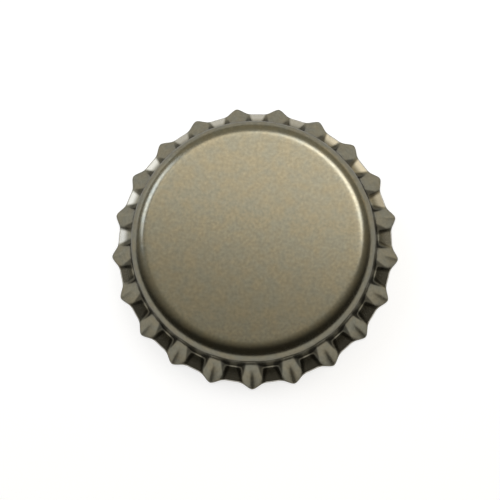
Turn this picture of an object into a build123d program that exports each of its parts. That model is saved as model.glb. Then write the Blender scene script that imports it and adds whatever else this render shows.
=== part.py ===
from build123d import *
from math import cos, exp, hypot, log, pi, radians, sin, sqrt, tan
import os

# A crown bottle cap as it leaves the press, before it is crimped onto a bottle.
# All sizes are in millimetres. The cap's axis is Z and its open side is down: the inner edge of the
# rim lies on z = 0, and the crest of one flute points along +X.

# Cap as a whole
cap_height = 6.0
sheet_thickness = 0.235
wall_radius = 13.6
shoulder_radius = 1.9

# Flutes: how many there are, the plain wall left above them, how far the cut edge stands out at a
# crest, and how much less in a pocket
flute_count = 21
plain_wall = 0.3
crest_rim_radius = 16.04
flute_depth = 0.7
flare_angle = 45

# Walls above the flare lean out by this much for each millimetre down, and meet it in a soft bend
pocket_draft = 0.05
pocket_bend = 0.08
crest_draft = 0.1
crest_bend = 0.2

# A ridge across its width: half its width at half its height, and how much wider and squarer it is
# at its root than at the rim
ridge_half_width = 0.73
ridge_widening = 0.3
ridge_squaring = 2.0

# Where the ridge's round crest meets the hollow pocket beside it, as a share of the half width
meeting_share = 0.55

# Heights of the skirt's sections, as shares of the flutes' height
section_shares = (0, 0.38, 0.52, 0.7, 1)

# Seal moulded under the panel: a thin web, and a thick ring with slanted sides for the bottle's lip,
# which stays clear of the skirt's inside
web_thickness = 0.25
ring_thickness = 0.85
ring_width = 2.7
ring_clearance = 0.665
ring_slant = 0.5

# Places that follow from the sizes above
wall_top = cap_height - shoulder_radius
flute_top = wall_top - plain_wall
panel_edge = wall_radius - shoulder_radius
panel_underside = cap_height - sheet_thickness
edge_rise = sheet_thickness * cos(radians(flare_angle))
flare_slope = tan(radians(flare_angle))
pocket_rim_radius = crest_rim_radius - flute_depth
pitch_angle = 2 * pi / flute_count
flute_radius = (crest_rim_radius + wall_radius) / 2 - sheet_thickness
ring_outer_radius = wall_radius - sheet_thickness - ring_clearance
ring_inner_radius = ring_outer_radius - ring_width
meeting_angle = meeting_share * ridge_half_width / flute_radius


def bent(wall, flare, softness):
    """Follow a wall and then its flare, whichever is further out, with a soft bend between."""
    return (wall + flare) / 2 + hypot((wall - flare) / 2, softness)


def outer_radius(angle, height):
    """Radius of the skirt's outside, at an angle from the nearest crest and a height above the rim."""
    if height >= flute_top:
        return wall_radius
    drop = flute_top - height
    fall = (height - edge_rise) * flare_slope
    pocket = bent(wall_radius + pocket_draft * drop, pocket_rim_radius - fall, pocket_bend)
    crest = bent(wall_radius + crest_draft * drop, crest_rim_radius - fall, crest_bend)
    rise = height / flute_top
    across = abs(angle) * flute_radius / (ridge_half_width * (1 + ridge_widening * rise))
    return pocket + (crest - pocket) * exp(-log(2) * across ** (2 + ridge_squaring * rise))


def inner_radius(angle, height):
    """Radius of the skirt's inside, one sheet's thickness in, measured square to the sheet."""
    if height >= flute_top:
        return wall_radius - sheet_thickness
    step = 1e-4
    radius = outer_radius(angle, height)
    lean = (outer_radius(angle, height + step) - outer_radius(angle, height - step)) / (2 * step)
    turn = (outer_radius(angle + step, height) - outer_radius(angle - step, height)) / (2 * step * radius)
    return radius - sheet_thickness * sqrt(1 + lean**2 + turn**2)


def flute_outline(radius, height):
    """Closed outline of the flutes at a height: a round crest and a hollow pocket in turn."""
    edges = []
    for flute in range(flute_count):
        crest = flute * pitch_angle
        pocket = crest + pitch_angle / 2
        for middle, reach in ((crest, meeting_angle), (pocket, pitch_angle / 2 - meeting_angle)):
            points = []
            for angle in (middle - reach, middle, middle + reach):
                from_crest = abs((angle - crest + pitch_angle / 2) % pitch_angle - pitch_angle / 2)
                out = radius(from_crest, height)
                points.append((out * cos(angle), out * sin(angle)))
            edges.append(ThreePointArc(*points))
    return edges


# Cap shell: one piece of tinplate, pressed to a flat panel, a rounded shoulder, a narrow plain wall and
# a fluted skirt.
# The skirt's outside starts at the sheet's cut edge, which is square to the sheet.
outer_heights = [edge_rise + share * (flute_top - edge_rise) for share in section_shares]
inner_heights = [share * flute_top for share in section_shares]
with BuildPart() as cap_shell:
    with BuildSketch(Plane.XY):
        make_face(flute_outline(inner_radius, 0))
    for height in outer_heights:
        with BuildSketch(Plane.XY.offset(height)):
            make_face(flute_outline(outer_radius, height))
    loft(ruled=True, clean=False)
    for height in inner_heights:
        with BuildSketch(Plane.XY.offset(height)):
            make_face(flute_outline(inner_radius, height))
    loft(ruled=True, clean=False, mode=Mode.SUBTRACT)
    with BuildSketch(Plane.XZ):
        with BuildLine():
            Line((0, cap_height), (panel_edge, cap_height))
            RadiusArc((panel_edge, cap_height), (wall_radius, wall_top), shoulder_radius)
            Line((wall_radius, wall_top), (wall_radius, flute_top))
            Line((wall_radius, flute_top), (wall_radius - sheet_thickness, flute_top))
            Line((wall_radius - sheet_thickness, flute_top), (wall_radius - sheet_thickness, wall_top))
            RadiusArc(
                (wall_radius - sheet_thickness, wall_top),
                (panel_edge, panel_underside),
                sheet_thickness - shoulder_radius,
            )
            Line((panel_edge, panel_underside), (0, panel_underside))
            Line((0, panel_underside), (0, cap_height))
        make_face()
    revolve(axis=Axis.Z, clean=False)
cap_shell.part.label = "cap_shell"

# Sealing liner: one moulded disc under the panel, a thin web with a thick ring round it. The ring's
# outer side slants to clear the inside of the shoulder.
with BuildPart() as sealing_liner:
    with BuildSketch(Plane.XZ):
        with BuildLine():
            Polyline(
                (0, panel_underside),
                (panel_edge, panel_underside),
                (ring_outer_radius, panel_underside - ring_slant),
                (ring_outer_radius, panel_underside - ring_thickness),
                (ring_inner_radius + ring_slant, panel_underside - ring_thickness),
                (ring_inner_radius, panel_underside - web_thickness),
                (0, panel_underside - web_thickness),
                close=True,
            )
        make_face()
    revolve(axis=Axis.Z)
sealing_liner.part.label = "sealing_liner"

os.makedirs("parts", exist_ok=True)
export_step(cap_shell.part, "parts/cap_shell.step")
export_step(sealing_liner.part, "parts/sealing_liner.step")
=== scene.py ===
from math import cos, hypot, pi, radians, sin

import bpy
from mathutils import Matrix, Vector


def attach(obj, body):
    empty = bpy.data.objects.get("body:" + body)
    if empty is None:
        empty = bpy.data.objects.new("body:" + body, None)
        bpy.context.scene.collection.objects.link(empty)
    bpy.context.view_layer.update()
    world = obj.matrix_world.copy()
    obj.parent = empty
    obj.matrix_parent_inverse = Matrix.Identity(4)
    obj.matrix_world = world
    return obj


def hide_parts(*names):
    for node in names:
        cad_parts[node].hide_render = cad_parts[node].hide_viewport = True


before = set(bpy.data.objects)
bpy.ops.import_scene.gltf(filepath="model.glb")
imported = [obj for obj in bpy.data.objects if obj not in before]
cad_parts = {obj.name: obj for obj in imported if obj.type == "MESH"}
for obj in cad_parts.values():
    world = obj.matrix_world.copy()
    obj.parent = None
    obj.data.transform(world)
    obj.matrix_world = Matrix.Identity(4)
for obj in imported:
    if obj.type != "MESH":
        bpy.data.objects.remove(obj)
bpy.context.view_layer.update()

# Cap shell. One blank of lacquered tinplate, drawn to a flat panel with a round shoulder and pressed
# between fluted tools, so every flute is a crisp outward crest beside a hollow pocket. It lies open
# side down, one crest along +X. Lengths are in millimetres until they go into a mesh.
MM = 0.001
CAP_HEIGHT = 6.0
SHEET = 0.235
WALL_RADIUS = 13.6
SHOULDER_RADIUS = 1.9
FLUTES = 21
CREST_RIM_RADIUS = 16.04
FLUTE_DEPTH = 0.7
FLARE_ANGLE = radians(45)

# The wall leans out by WALL_DRAFT for each millimetre down. The flutes grow out of it over WALL_FADE,
# and a crest starts higher up it than a pocket does.
WALL_DRAFT = 0.05
WALL_FADE = 0.5
CREST_ROOT, POCKET_ROOT = 3.1, 1.55
WALL_BEND = 0.08

# A crest runs nearly straight to the rim and is steepest at its root. Its top is flat there and turns
# to a round ridge with sloping flanks toward the rim, between steep sides that end in a soft foot.
CREST_ARCH = 0.13
CREST_ROUND = 0.28
FLANK_SLOPE = 0.8
SIDE_SLOPE = 1.25
SIDE_AT_RIM = 1.29
SIDE_TAPER = 0.23
SIDE_BEND = 0.08
FOOT_BEND = 0.12

WALL_TOP = CAP_HEIGHT - SHOULDER_RADIUS
PANEL_EDGE = WALL_RADIUS - SHOULDER_RADIUS
EDGE_RISE = SHEET * sin(FLARE_ANGLE)
CREST_RUN, POCKET_RUN = CREST_ROOT - EDGE_RISE, POCKET_ROOT - EDGE_RISE
CREST_REACH = CREST_RIM_RADIUS - WALL_RADIUS
POCKET_REACH = CREST_REACH - FLUTE_DEPTH
PITCH = 2 * pi / FLUTES
FLUTE_RADIUS = (CREST_RIM_RADIUS + WALL_RADIUS) / 2

PANEL_RINGS = (4.0, 8.0, 10.4, 11.3)
SHOULDER_STEPS = 18
SKIRT_STEPS = 40
COLUMNS_PER_FLUTE = 36
COLUMN_CROWDING = 0.5


def bent(wall, flare, softness):
    """Follow a wall and then its flare, whichever is further out, with a soft bend between."""
    return (wall + flare) / 2 + hypot((wall - flare) / 2, softness)


def skirt_point(angle, height):
    """Point on the outside of the skirt, at an angle from +X and a height above the rim."""
    across = abs((angle + PITCH / 2) % PITCH - PITCH / 2) * FLUTE_RADIUS
    drop = max(WALL_TOP - height, 0)
    above = height - EDGE_RISE
    climb = above / CREST_RUN
    pocket = bent(WALL_DRAFT * drop, POCKET_REACH * (1 - above / POCKET_RUN), WALL_BEND)
    crest = CREST_REACH * (1 - climb) - CREST_ARCH * above * (1 - climb**3)
    steepness = FLANK_SLOPE * (1 - min(climb, 1) ** 2)
    flank = steepness * (hypot(across, CREST_ROUND) - CREST_ROUND)
    side = SIDE_SLOPE * bent(0, across - SIDE_AT_RIM + SIDE_TAPER * height, SIDE_BEND)
    grown = min(drop / WALL_FADE, 1)
    radius = WALL_RADIUS + bent(pocket, crest - flank - side, FOOT_BEND) * grown * grown * (3 - 2 * grown)
    return Vector((radius * cos(angle), radius * sin(angle), height))


def skirt_normal(angle, height):
    """Outward direction square to the skirt there."""
    turn, lift = 1e-4, 1e-3
    around = skirt_point(angle + turn, height) - skirt_point(angle - turn, height)
    upward = skirt_point(angle, height + lift) - skirt_point(angle, height - lift)
    return around.cross(upward).normalized()


def column_angles():
    """Angles of the mesh's columns, closer together on a crest than in a pocket."""
    angles = []
    for flute in range(FLUTES):
        for column in range(COLUMNS_PER_FLUTE):
            step = 2 * column / COLUMNS_PER_FLUTE - 1
            crowded = step * (1 - COLUMN_CROWDING + COLUMN_CROWDING * step * step)
            angles.append(PITCH * (flute + crowded / 2))
    return angles


def shell_rows(angles):
    """Rows of points from the middle of the panel's top, over the rim, to the middle underneath."""
    top_rows, under_rows = [], []
    for radius in (*PANEL_RINGS, PANEL_EDGE):
        top_rows.append([Vector((radius * cos(a), radius * sin(a), CAP_HEIGHT)) for a in angles])
        under_rows.append([p - Vector((0, 0, SHEET)) for p in top_rows[-1]])
    for step in range(1, SHOULDER_STEPS + 1):
        tilt = pi / 2 * step / SHOULDER_STEPS
        for rows, bend in ((top_rows, SHOULDER_RADIUS), (under_rows, SHOULDER_RADIUS - SHEET)):
            radius, height = PANEL_EDGE + bend * sin(tilt), WALL_TOP + bend * cos(tilt)
            rows.append([Vector((radius * cos(a), radius * sin(a), height)) for a in angles])
    for step in range(1, SKIRT_STEPS + 1):
        height = WALL_TOP + (EDGE_RISE - WALL_TOP) * step / SKIRT_STEPS
        outside = [skirt_point(a, height) for a in angles]
        top_rows.append(outside)
        under_rows.append([p - SHEET * skirt_normal(a, height) for a, p in zip(angles, outside)])
    for point in under_rows[-1]:
        point.z = max(point.z, 0)
    return top_rows + under_rows[::-1]


def ring_mesh(name, rows):
    """Mesh of rings of points joined one to the next, with a point in the middle at each end."""
    count = len(rows[0])
    points = [p * MM for row in rows for p in row]
    faces = []
    for row in range(len(rows) - 1):
        for column in range(count):
            beside = (column + 1) % count
            first, second = row * count, (row + 1) * count
            faces.append((first + column, second + column, second + beside, first + beside))
    for row, turned in ((0, False), (len(rows) - 1, True)):
        middle = len(points)
        points.append(Vector((0, 0, rows[row][0].z * MM)))
        for column in range(count):
            pair = (row * count + column, row * count + (column + 1) % count)
            faces.append((middle, *(pair[::-1] if turned else pair)))
    mesh = bpy.data.meshes.new(name)
    mesh.from_pydata(points, [], faces)
    mesh.shade_smooth()
    made = bpy.data.objects.new(name, mesh)
    bpy.context.scene.collection.objects.link(made)
    return made


def linear(hex_colour):
    """Linear colour of an sRGB hex value."""
    channels = [int(hex_colour[i : i + 2], 16) / 255 for i in (1, 3, 5)]
    return (*[c / 12.92 if c <= 0.04045 else ((c + 0.055) / 1.055) ** 2.4 for c in channels], 1)


def add_node(tree, kind, sockets=None, **settings):
    """Add a node with its settings, and give each socket, by name or number, a value or a link."""
    node = tree.nodes.new(kind)
    for name, value in settings.items():
        setattr(node, name, value)
    for name, value in (sockets or {}).items():
        if isinstance(value, bpy.types.NodeSocket):
            tree.links.new(value, node.inputs[name])
        else:
            node.inputs[name].default_value = value
    return node


def start_material(name):
    """New material with its node tree emptied, its output node, and a place in millimetres."""
    material = bpy.data.materials.new(name)
    material.use_nodes = True
    tree = material.node_tree
    tree.nodes.clear()
    output = add_node(tree, "ShaderNodeOutputMaterial")
    place = add_node(tree, "ShaderNodeTexCoord").outputs["Object"]
    place = add_node(tree, "ShaderNodeVectorMath", {0: place, 3: 1 / MM}, operation="SCALE").outputs[0]
    return material, tree, output, place


# Satin tinplate under a clear lacquer: the rolled tin has a sand-like grain with faint warm and grey
# patches, and the lacquer blurs reflections to soft bands and dims them at a grazing angle. The real
# grain is under 0.2 mm, and is drawn at about twice that, so that it shows.
TIN_WARM = "#7F7967"
TIN_GREY = "#7A786B"
TIN_AT_GRAZING = "#C4C4C4"
TIN_ROUGHNESS = 0.25
GRAIN_SIZE, GRAIN_DETAIL, GRAIN_DEPTH = 0.35, 2.0, 0.125
GRAIN_LOW, GRAIN_HIGH = 0.25, 0.75
PATCH_SIZE, PATCH_DETAIL = 1.3, 3.0
PATCH_GREY, PATCH_WARM = 0.35, 0.65

# The floors of the pockets are glossier, and painted paler as a painted reflection that makes them brighter
# than the rest of the tin.
# A floor is bounded by the cosine of the flutes' wave, 1 on a crest and -1 in a pocket, at two radii.
FLOOR_PAINTED_REFLECTION = "#C4C1B7"
GLOSSY_FLOOR_ROUGHNESS = 0.14
FLOOR_REFLECTION_START, FLOOR_REFLECTION_END = 14.1, 14.9
FLOOR_START, FLOOR_END = 14.0, 15.3
FLOOR_AT_START, FLOOR_AT_END = -0.85, -0.35
FLOOR_FADE_START, FLOOR_FADE_END = -0.15, 0.2

# Painted shade: the corner between a floor and the side of the ridge is painted darker, from the wall down to
# where the ridge gets low.
PAINTED_CORNER_SHADE = 0.35
CORNER_SHADE_SOFTNESS, RIDGE_SOFTNESS, WALL_SOFTNESS = 0.1, 0.12, 0.1
CORNER_SHADE_FADE_START, CORNER_SHADE_FADE_END = 14.6, 15.3
RIDGE_START, RIDGE_END = 13.8, 15.3
RIDGE_AT_START, RIDGE_AT_END = 0.5, -0.1


def satin_tinplate():
    """Grain and patches everywhere, glossier pocket floors painted paler as a painted reflection, and painted
    shade in the corners beside them.
    """
    material, tree, output, place = start_material("satin_tinplate")
    grain = add_node(
        tree, "ShaderNodeTexNoise", {"Vector": place, "Scale": 1 / GRAIN_SIZE, "Detail": GRAIN_DETAIL}
    ).outputs[0]
    patch = add_node(
        tree, "ShaderNodeTexNoise", {"Vector": place, "Scale": 1 / PATCH_SIZE, "Detail": PATCH_DETAIL}
    ).outputs[0]
    warm = add_node(
        tree, "ShaderNodeMapRange", {"Value": patch, "From Min": PATCH_GREY, "From Max": PATCH_WARM}
    ).outputs[0]
    tint = add_node(
        tree, "ShaderNodeMix", {0: warm, 6: linear(TIN_GREY), 7: linear(TIN_WARM)}, data_type="RGBA"
    ).outputs[2]
    shade = add_node(
        tree,
        "ShaderNodeMapRange",
        {
            "Value": grain,
            "From Min": GRAIN_LOW,
            "From Max": GRAIN_HIGH,
            "To Min": 1 - GRAIN_DEPTH,
            "To Max": 1 + GRAIN_DEPTH,
        },
    ).outputs[0]
    tin = add_node(tree, "ShaderNodeVectorMath", {0: tint, 3: shade}, operation="SCALE").outputs[0]

    # The flutes' wave round the cap, and the distance from its axis
    parts = add_node(tree, "ShaderNodeSeparateXYZ", {0: place}).outputs
    turn = add_node(tree, "ShaderNodeMath", {0: parts[1], 1: parts[0]}, operation="ARCTAN2").outputs[0]
    wave = add_node(tree, "ShaderNodeMath", {0: turn, 1: FLUTES}, operation="MULTIPLY").outputs[0]
    wave = add_node(tree, "ShaderNodeMath", {0: wave}, operation="COSINE").outputs[0]
    level = add_node(tree, "ShaderNodeVectorMath", {0: place, 1: (1, 1, 0)}, operation="MULTIPLY").outputs[0]
    reach = add_node(tree, "ShaderNodeVectorMath", {0: level}, operation="LENGTH").outputs["Value"]

    # Pocket floor, glossier and with a painted reflection: how far inside its border a point is, and how far
    # out along the pocket
    border = add_node(
        tree,
        "ShaderNodeMapRange",
        {
            "Value": reach,
            "From Min": FLOOR_START,
            "From Max": FLOOR_END,
            "To Min": FLOOR_AT_START,
            "To Max": FLOOR_AT_END,
        },
    ).outputs[0]
    inside = add_node(tree, "ShaderNodeMath", {0: border, 1: wave}, operation="SUBTRACT").outputs[0]
    floor = add_node(
        tree,
        "ShaderNodeMapRange",
        {"Value": inside, "From Min": FLOOR_FADE_START, "From Max": FLOOR_FADE_END},
    ).outputs[0]
    outward = add_node(
        tree,
        "ShaderNodeMapRange",
        {"Value": reach, "From Min": FLOOR_REFLECTION_START, "From Max": FLOOR_REFLECTION_END},
        interpolation_type="SMOOTHSTEP",
    ).outputs[0]
    floor_reflection_mask = add_node(tree, "ShaderNodeMath", {0: floor, 1: outward}, operation="MULTIPLY").outputs[0]

    # Painted corner shade: outside the floor, beside the ridge's flat top, and below the wall
    beside_floor = add_node(
        tree, "ShaderNodeMapRange", {"Value": inside, "From Min": CORNER_SHADE_SOFTNESS, "From Max": -CORNER_SHADE_SOFTNESS}
    ).outputs[0]
    ridge = add_node(
        tree,
        "ShaderNodeMapRange",
        {
            "Value": reach,
            "From Min": RIDGE_START,
            "From Max": RIDGE_END,
            "To Min": RIDGE_AT_START,
            "To Max": RIDGE_AT_END,
        },
    ).outputs[0]
    past_ridge = add_node(tree, "ShaderNodeMath", {0: ridge, 1: wave}, operation="SUBTRACT").outputs[0]
    beside_ridge = add_node(
        tree,
        "ShaderNodeMapRange",
        {"Value": past_ridge, "From Min": -RIDGE_SOFTNESS, "From Max": RIDGE_SOFTNESS},
    ).outputs[0]
    rootward = add_node(
        tree,
        "ShaderNodeMapRange",
        {
            "Value": reach,
            "From Min": CORNER_SHADE_FADE_START,
            "From Max": CORNER_SHADE_FADE_END,
            "To Min": 1.0,
            "To Max": 0.0,
        },
    ).outputs[0]
    below_wall = add_node(
        tree,
        "ShaderNodeMapRange",
        {"Value": reach, "From Min": WALL_RADIUS, "From Max": WALL_RADIUS + WALL_SOFTNESS},
    ).outputs[0]
    corner_shade_mask = beside_floor
    for limit in (beside_ridge, rootward, below_wall):
        corner_shade_mask = add_node(tree, "ShaderNodeMath", {0: corner_shade_mask, 1: limit}, operation="MULTIPLY").outputs[0]
    # Painted shade: the tin is darkened where the corner mask is set.
    shade = add_node(
        tree, "ShaderNodeMapRange", {"Value": corner_shade_mask, "To Min": 1.0, "To Max": PAINTED_CORNER_SHADE}
    ).outputs[0]
    tin = add_node(tree, "ShaderNodeVectorMath", {0: tin, 3: shade}, operation="SCALE").outputs[0]

    # Painted reflection: the pocket floors take the paler colour.
    colour = add_node(
        tree, "ShaderNodeMix", {0: floor_reflection_mask, 6: tin, 7: linear(FLOOR_PAINTED_REFLECTION)}, data_type="RGBA"
    ).outputs[2]
    satin = add_node(
        tree, "ShaderNodeMapRange", {"Value": floor_reflection_mask, "To Min": TIN_ROUGHNESS, "To Max": GLOSSY_FLOOR_ROUGHNESS}
    ).outputs[0]
    shader = add_node(
        tree,
        "ShaderNodeBsdfPrincipled",
        {
            "Base Color": colour,
            "Metallic": 1.0,
            "Roughness": satin,
            "Specular Tint": linear(TIN_AT_GRAZING),
        },
    ).outputs[0]
    tree.links.new(shader, output.inputs[0])
    return material


shell = ring_mesh("cap_shell_pressed", shell_rows(column_angles()))
shell.data.materials.append(satin_tinplate())
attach(shell, "root")
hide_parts("cap_shell")

# Sealing liner. A soft polymer disc moulded in place under the panel: a thin web in the middle and a
# thick ring that the bottle's lip presses into, with the round corners that its punch leaves. Its
# outline is radius, depth under the panel and corner radius, from the web round to the bonded side.
PANEL_UNDERSIDE = CAP_HEIGHT - SHEET
LINER_OUTLINE = (
    (3.0, 0.25, 0.0),
    (6.0, 0.25, 0.0),
    (10.0, 0.25, 0.2),
    (10.5, 0.85, 0.25),
    (11.3, 0.85, 0.2),
    (11.5, 0.72, 0.15),
    (11.7, 0.85, 0.2),
    (12.7, 0.85, 0.25),
    (12.7, 0.5, 0.1),
    (11.7, 0.005, 0.0),
    (6.0, 0.005, 0.0),
)
LONGEST_CORNER = 0.45
LINER_COLUMNS = 180
CORNER_STEPS = 5


def rounded_outline(corners):
    """Radius and height of each point along the liner's outline, its corners rounded."""
    points = []
    for index, (radius, depth, corner_round) in enumerate(corners):
        here = Vector((radius, PANEL_UNDERSIDE - depth))
        if not corner_round:
            points.append(here)
            continue
        ends = []
        for other in (corners[index - 1], corners[index + 1]):
            side = Vector((other[0], PANEL_UNDERSIDE - other[1])) - here
            ends.append(here + side.normalized() * min(corner_round, side.length * LONGEST_CORNER))
        for step in range(CORNER_STEPS + 1):
            share = step / CORNER_STEPS
            start, finish = ends[0].lerp(here, share), here.lerp(ends[1], share)
            points.append(start.lerp(finish, share))
    return points


# Moulded polymer, a soft polyethylene kind: white with a faint warm cloud, silky from the polished
# punch, and barely rippled where it cooled.
LINER_SHADED, LINER_PALE = "#D5D4CD", "#DFDED8"
LINER_ROUGHNESS = 0.42
CLOUD_SIZE, CLOUD_DETAIL = 2.0, 3.0
RIPPLE_SIZE, RIPPLE_DETAIL = 0.5, 2.0
RIPPLE_HEIGHT, RIPPLE_STRENGTH = 0.03, 0.2


def moulded_polymer():
    material, tree, output, place = start_material("moulded_polymer")
    cloud = add_node(
        tree, "ShaderNodeTexNoise", {"Vector": place, "Scale": 1 / CLOUD_SIZE, "Detail": CLOUD_DETAIL}
    ).outputs[0]
    tint = add_node(
        tree, "ShaderNodeMix", {0: cloud, 6: linear(LINER_SHADED), 7: linear(LINER_PALE)}, data_type="RGBA"
    ).outputs[2]
    ripple = add_node(
        tree, "ShaderNodeTexNoise", {"Vector": place, "Scale": 1 / RIPPLE_SIZE, "Detail": RIPPLE_DETAIL}
    ).outputs[0]
    bump = add_node(
        tree,
        "ShaderNodeBump",
        {"Strength": RIPPLE_STRENGTH, "Distance": RIPPLE_HEIGHT * MM, "Height": ripple},
    ).outputs[0]
    shader = add_node(
        tree,
        "ShaderNodeBsdfPrincipled",
        {"Base Color": tint, "Roughness": LINER_ROUGHNESS, "Normal": bump},
    ).outputs[0]
    tree.links.new(shader, output.inputs[0])
    return material


liner_turns = [2 * pi * column / LINER_COLUMNS for column in range(LINER_COLUMNS)]
liner_rows = []
for point in rounded_outline(LINER_OUTLINE)[::-1]:
    liner_rows.append([Vector((point.x * cos(t), point.x * sin(t), point.y)) for t in liner_turns])
liner = ring_mesh("sealing_liner_moulded", liner_rows)
liner.data.materials.append(moulded_polymer())
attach(liner, "root")
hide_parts("sealing_liner")

# Table. A sheet of matt white paper that keeps the soft shadow round the rim. It glows white to the
# camera, in reflections and through glass, as far as views from 15 degrees up reach, and then fades,
# because the photographed shoulder reflects a darker table further off.
TABLE_REACH = 0.6
TABLE_WHITE = "#B5B5B5"
TABLE_GLOW, FAR_GLOW = 0.68, 0.1
GLOW_NORTH, GLOW_REACH, GLOW_FADE = 20, 150, 40
PICTURE_TOP = radians(95.4)


def toward(bearing, elevation):
    """Direction at a bearing clockwise from the picture's top, and an elevation, both in degrees."""
    turn, lift = PICTURE_TOP - radians(bearing), radians(elevation)
    return Vector((cos(turn) * cos(lift), sin(turn) * cos(lift), sin(lift)))


def seen_as_background(tree):
    """1 for a ray from the camera, in a reflection, or through glass."""
    rays = add_node(tree, "ShaderNodeLightPath").outputs
    seen = add_node(tree, "ShaderNodeMath", {0: rays["Is Camera Ray"], 1: rays["Is Glossy Ray"]})
    return add_node(
        tree, "ShaderNodeMath", {0: seen.outputs[0], 1: rays["Is Transmission Ray"]}, use_clamp=True
    ).outputs[0]


def white_paper():
    material, tree, output, place = start_material("white_paper")
    matt = add_node(tree, "ShaderNodeBsdfDiffuse", {"Color": linear(TABLE_WHITE)}).outputs[0]
    distance = add_node(
        tree, "ShaderNodeVectorMath", {0: place, 1: toward(0, 0) * GLOW_NORTH}, operation="DISTANCE"
    ).outputs["Value"]
    level = add_node(
        tree,
        "ShaderNodeMapRange",
        {
            "Value": distance,
            "From Min": GLOW_REACH,
            "From Max": GLOW_REACH + GLOW_FADE,
            "To Min": TABLE_GLOW,
            "To Max": FAR_GLOW,
        },
        interpolation_type="SMOOTHSTEP",
    ).outputs[0]
    glow = add_node(tree, "ShaderNodeEmission", {"Strength": level}).outputs[0]
    glowing = add_node(tree, "ShaderNodeAddShader", {0: matt, 1: glow}).outputs[0]
    mixed = add_node(tree, "ShaderNodeMixShader", {0: seen_as_background(tree), 1: matt, 2: glowing})
    tree.links.new(mixed.outputs[0], output.inputs[0])
    return material


table_mesh = bpy.data.meshes.new("table")
corners = [(x * TABLE_REACH, y * TABLE_REACH, 0) for x, y in ((-1, -1), (1, -1), (1, 1), (-1, 1))]
table_mesh.from_pydata(corners, [], [(0, 1, 2, 3)])
table_mesh.materials.append(white_paper())
table = bpy.data.objects.new("table", table_mesh)
bpy.context.scene.collection.objects.link(table)

# Lamps. Three near softboxes, beyond the picture's top and at its upper corners, give the panel its
# slope from light to dark and the shoulder its two highlights. Two low strips beyond them light the
# floors of the pockets. Each is a name, bearing, elevation, distance, size, radiance and colour.
LAMPS = (
    ("top_softbox", 12, 67, 0.125, (0.12, 0.055), 1.9, "#FFF9F2"),
    ("left_softbox", -55, 43, 0.20, (0.08, 0.07), 4.9, "#DCE8FF"),
    ("right_softbox", 36, 57, 0.20, (0.12, 0.065), 4.2, "#F4F7FF"),
    ("left_strip", -60, 3.5, 0.25, (0.22, 0.035), 1.5, "#EEF4FF"),
    ("right_strip", 50, 4, 0.25, (0.22, 0.04), 1.0, "#FFF1D8"),
)
for name, bearing, elevation, distance, size, radiance, colour in LAMPS:
    light = bpy.data.lights.new(name, "AREA")
    light.shape = "RECTANGLE"
    light.size, light.size_y = size
    light.color = linear(colour)[:3]
    light.energy = radiance * size[0] * size[1] * pi
    lamp = bpy.data.objects.new(name, light)
    lamp.location = toward(bearing, elevation) * distance
    lamp.rotation_mode = "QUATERNION"
    lamp.rotation_quaternion = (-lamp.location).to_track_quat("-Z", "Y")
    lamp.visible_camera = False
    bpy.context.scene.collection.objects.link(lamp)

# Room. Brightest high beyond the picture's top, and dark toward its bottom, which is what turns the
# near side of the shoulder and the near pockets almost black.
ROOM_COLOUR = "#FFF7DF"
ROOM_DARK, ROOM_LIGHT = 0.055, 0.6
BRIGHTEST = toward(-4, 38)
DARK_BELOW, LIGHT_ABOVE = 0.04, 0.85
room = bpy.data.worlds.new("room")
room.use_nodes = True
bpy.context.scene.world = room
tree = room.node_tree
tree.nodes.clear()
output = add_node(tree, "ShaderNodeOutputWorld")
direction = add_node(tree, "ShaderNodeTexCoord").outputs["Generated"]
facing = add_node(
    tree, "ShaderNodeVectorMath", {0: direction, 1: BRIGHTEST}, operation="DOT_PRODUCT"
).outputs["Value"]
level = add_node(
    tree,
    "ShaderNodeMapRange",
    {
        "Value": facing,
        "From Min": DARK_BELOW,
        "From Max": LIGHT_ABOVE,
        "To Min": ROOM_DARK,
        "To Max": ROOM_LIGHT,
    },
).outputs[0]
walls = add_node(tree, "ShaderNodeBackground", {"Color": linear(ROOM_COLOUR), "Strength": level}).outputs[0]
tree.links.new(walls, output.inputs[0])

# Camera. Nearly overhead, leaning toward the bottom of the picture, with a long lens. The cap's middle
# lies at MIDDLE_PIXEL in the picture.
LEAN = radians(11.5)
LEAN_TURN = radians(-69.4)
CAMERA_DISTANCE = 0.390
LENS = 250.5
NEAR_CLIP, FAR_CLIP = 0.01, 10
IMAGE_SIDE = 500
MIDDLE_PIXEL = (255.07, 247.97)
PIXELS_PER_MM = 8.915
back = Vector((sin(LEAN) * cos(LEAN_TURN), sin(LEAN) * sin(LEAN_TURN), cos(LEAN)))
right = toward(0, 0).cross(back).normalized()
up = back.cross(right)
offset = right * (IMAGE_SIDE / 2 - MIDDLE_PIXEL[0]) + up * (MIDDLE_PIXEL[1] - IMAGE_SIDE / 2)
aim = offset / PIXELS_PER_MM * MM
camera_data = bpy.data.cameras.new("camera")
camera_data.lens = LENS
camera_data.clip_start, camera_data.clip_end = NEAR_CLIP, FAR_CLIP
camera = bpy.data.objects.new("camera", camera_data)
camera.location = aim + back * CAMERA_DISTANCE
camera.rotation_mode = "QUATERNION"
camera.rotation_quaternion = Matrix((right, up, back)).transposed().to_quaternion()
bpy.context.scene.collection.objects.link(camera)
bpy.context.scene.camera = camera

bpy.context.scene.view_settings.view_transform = "Standard"
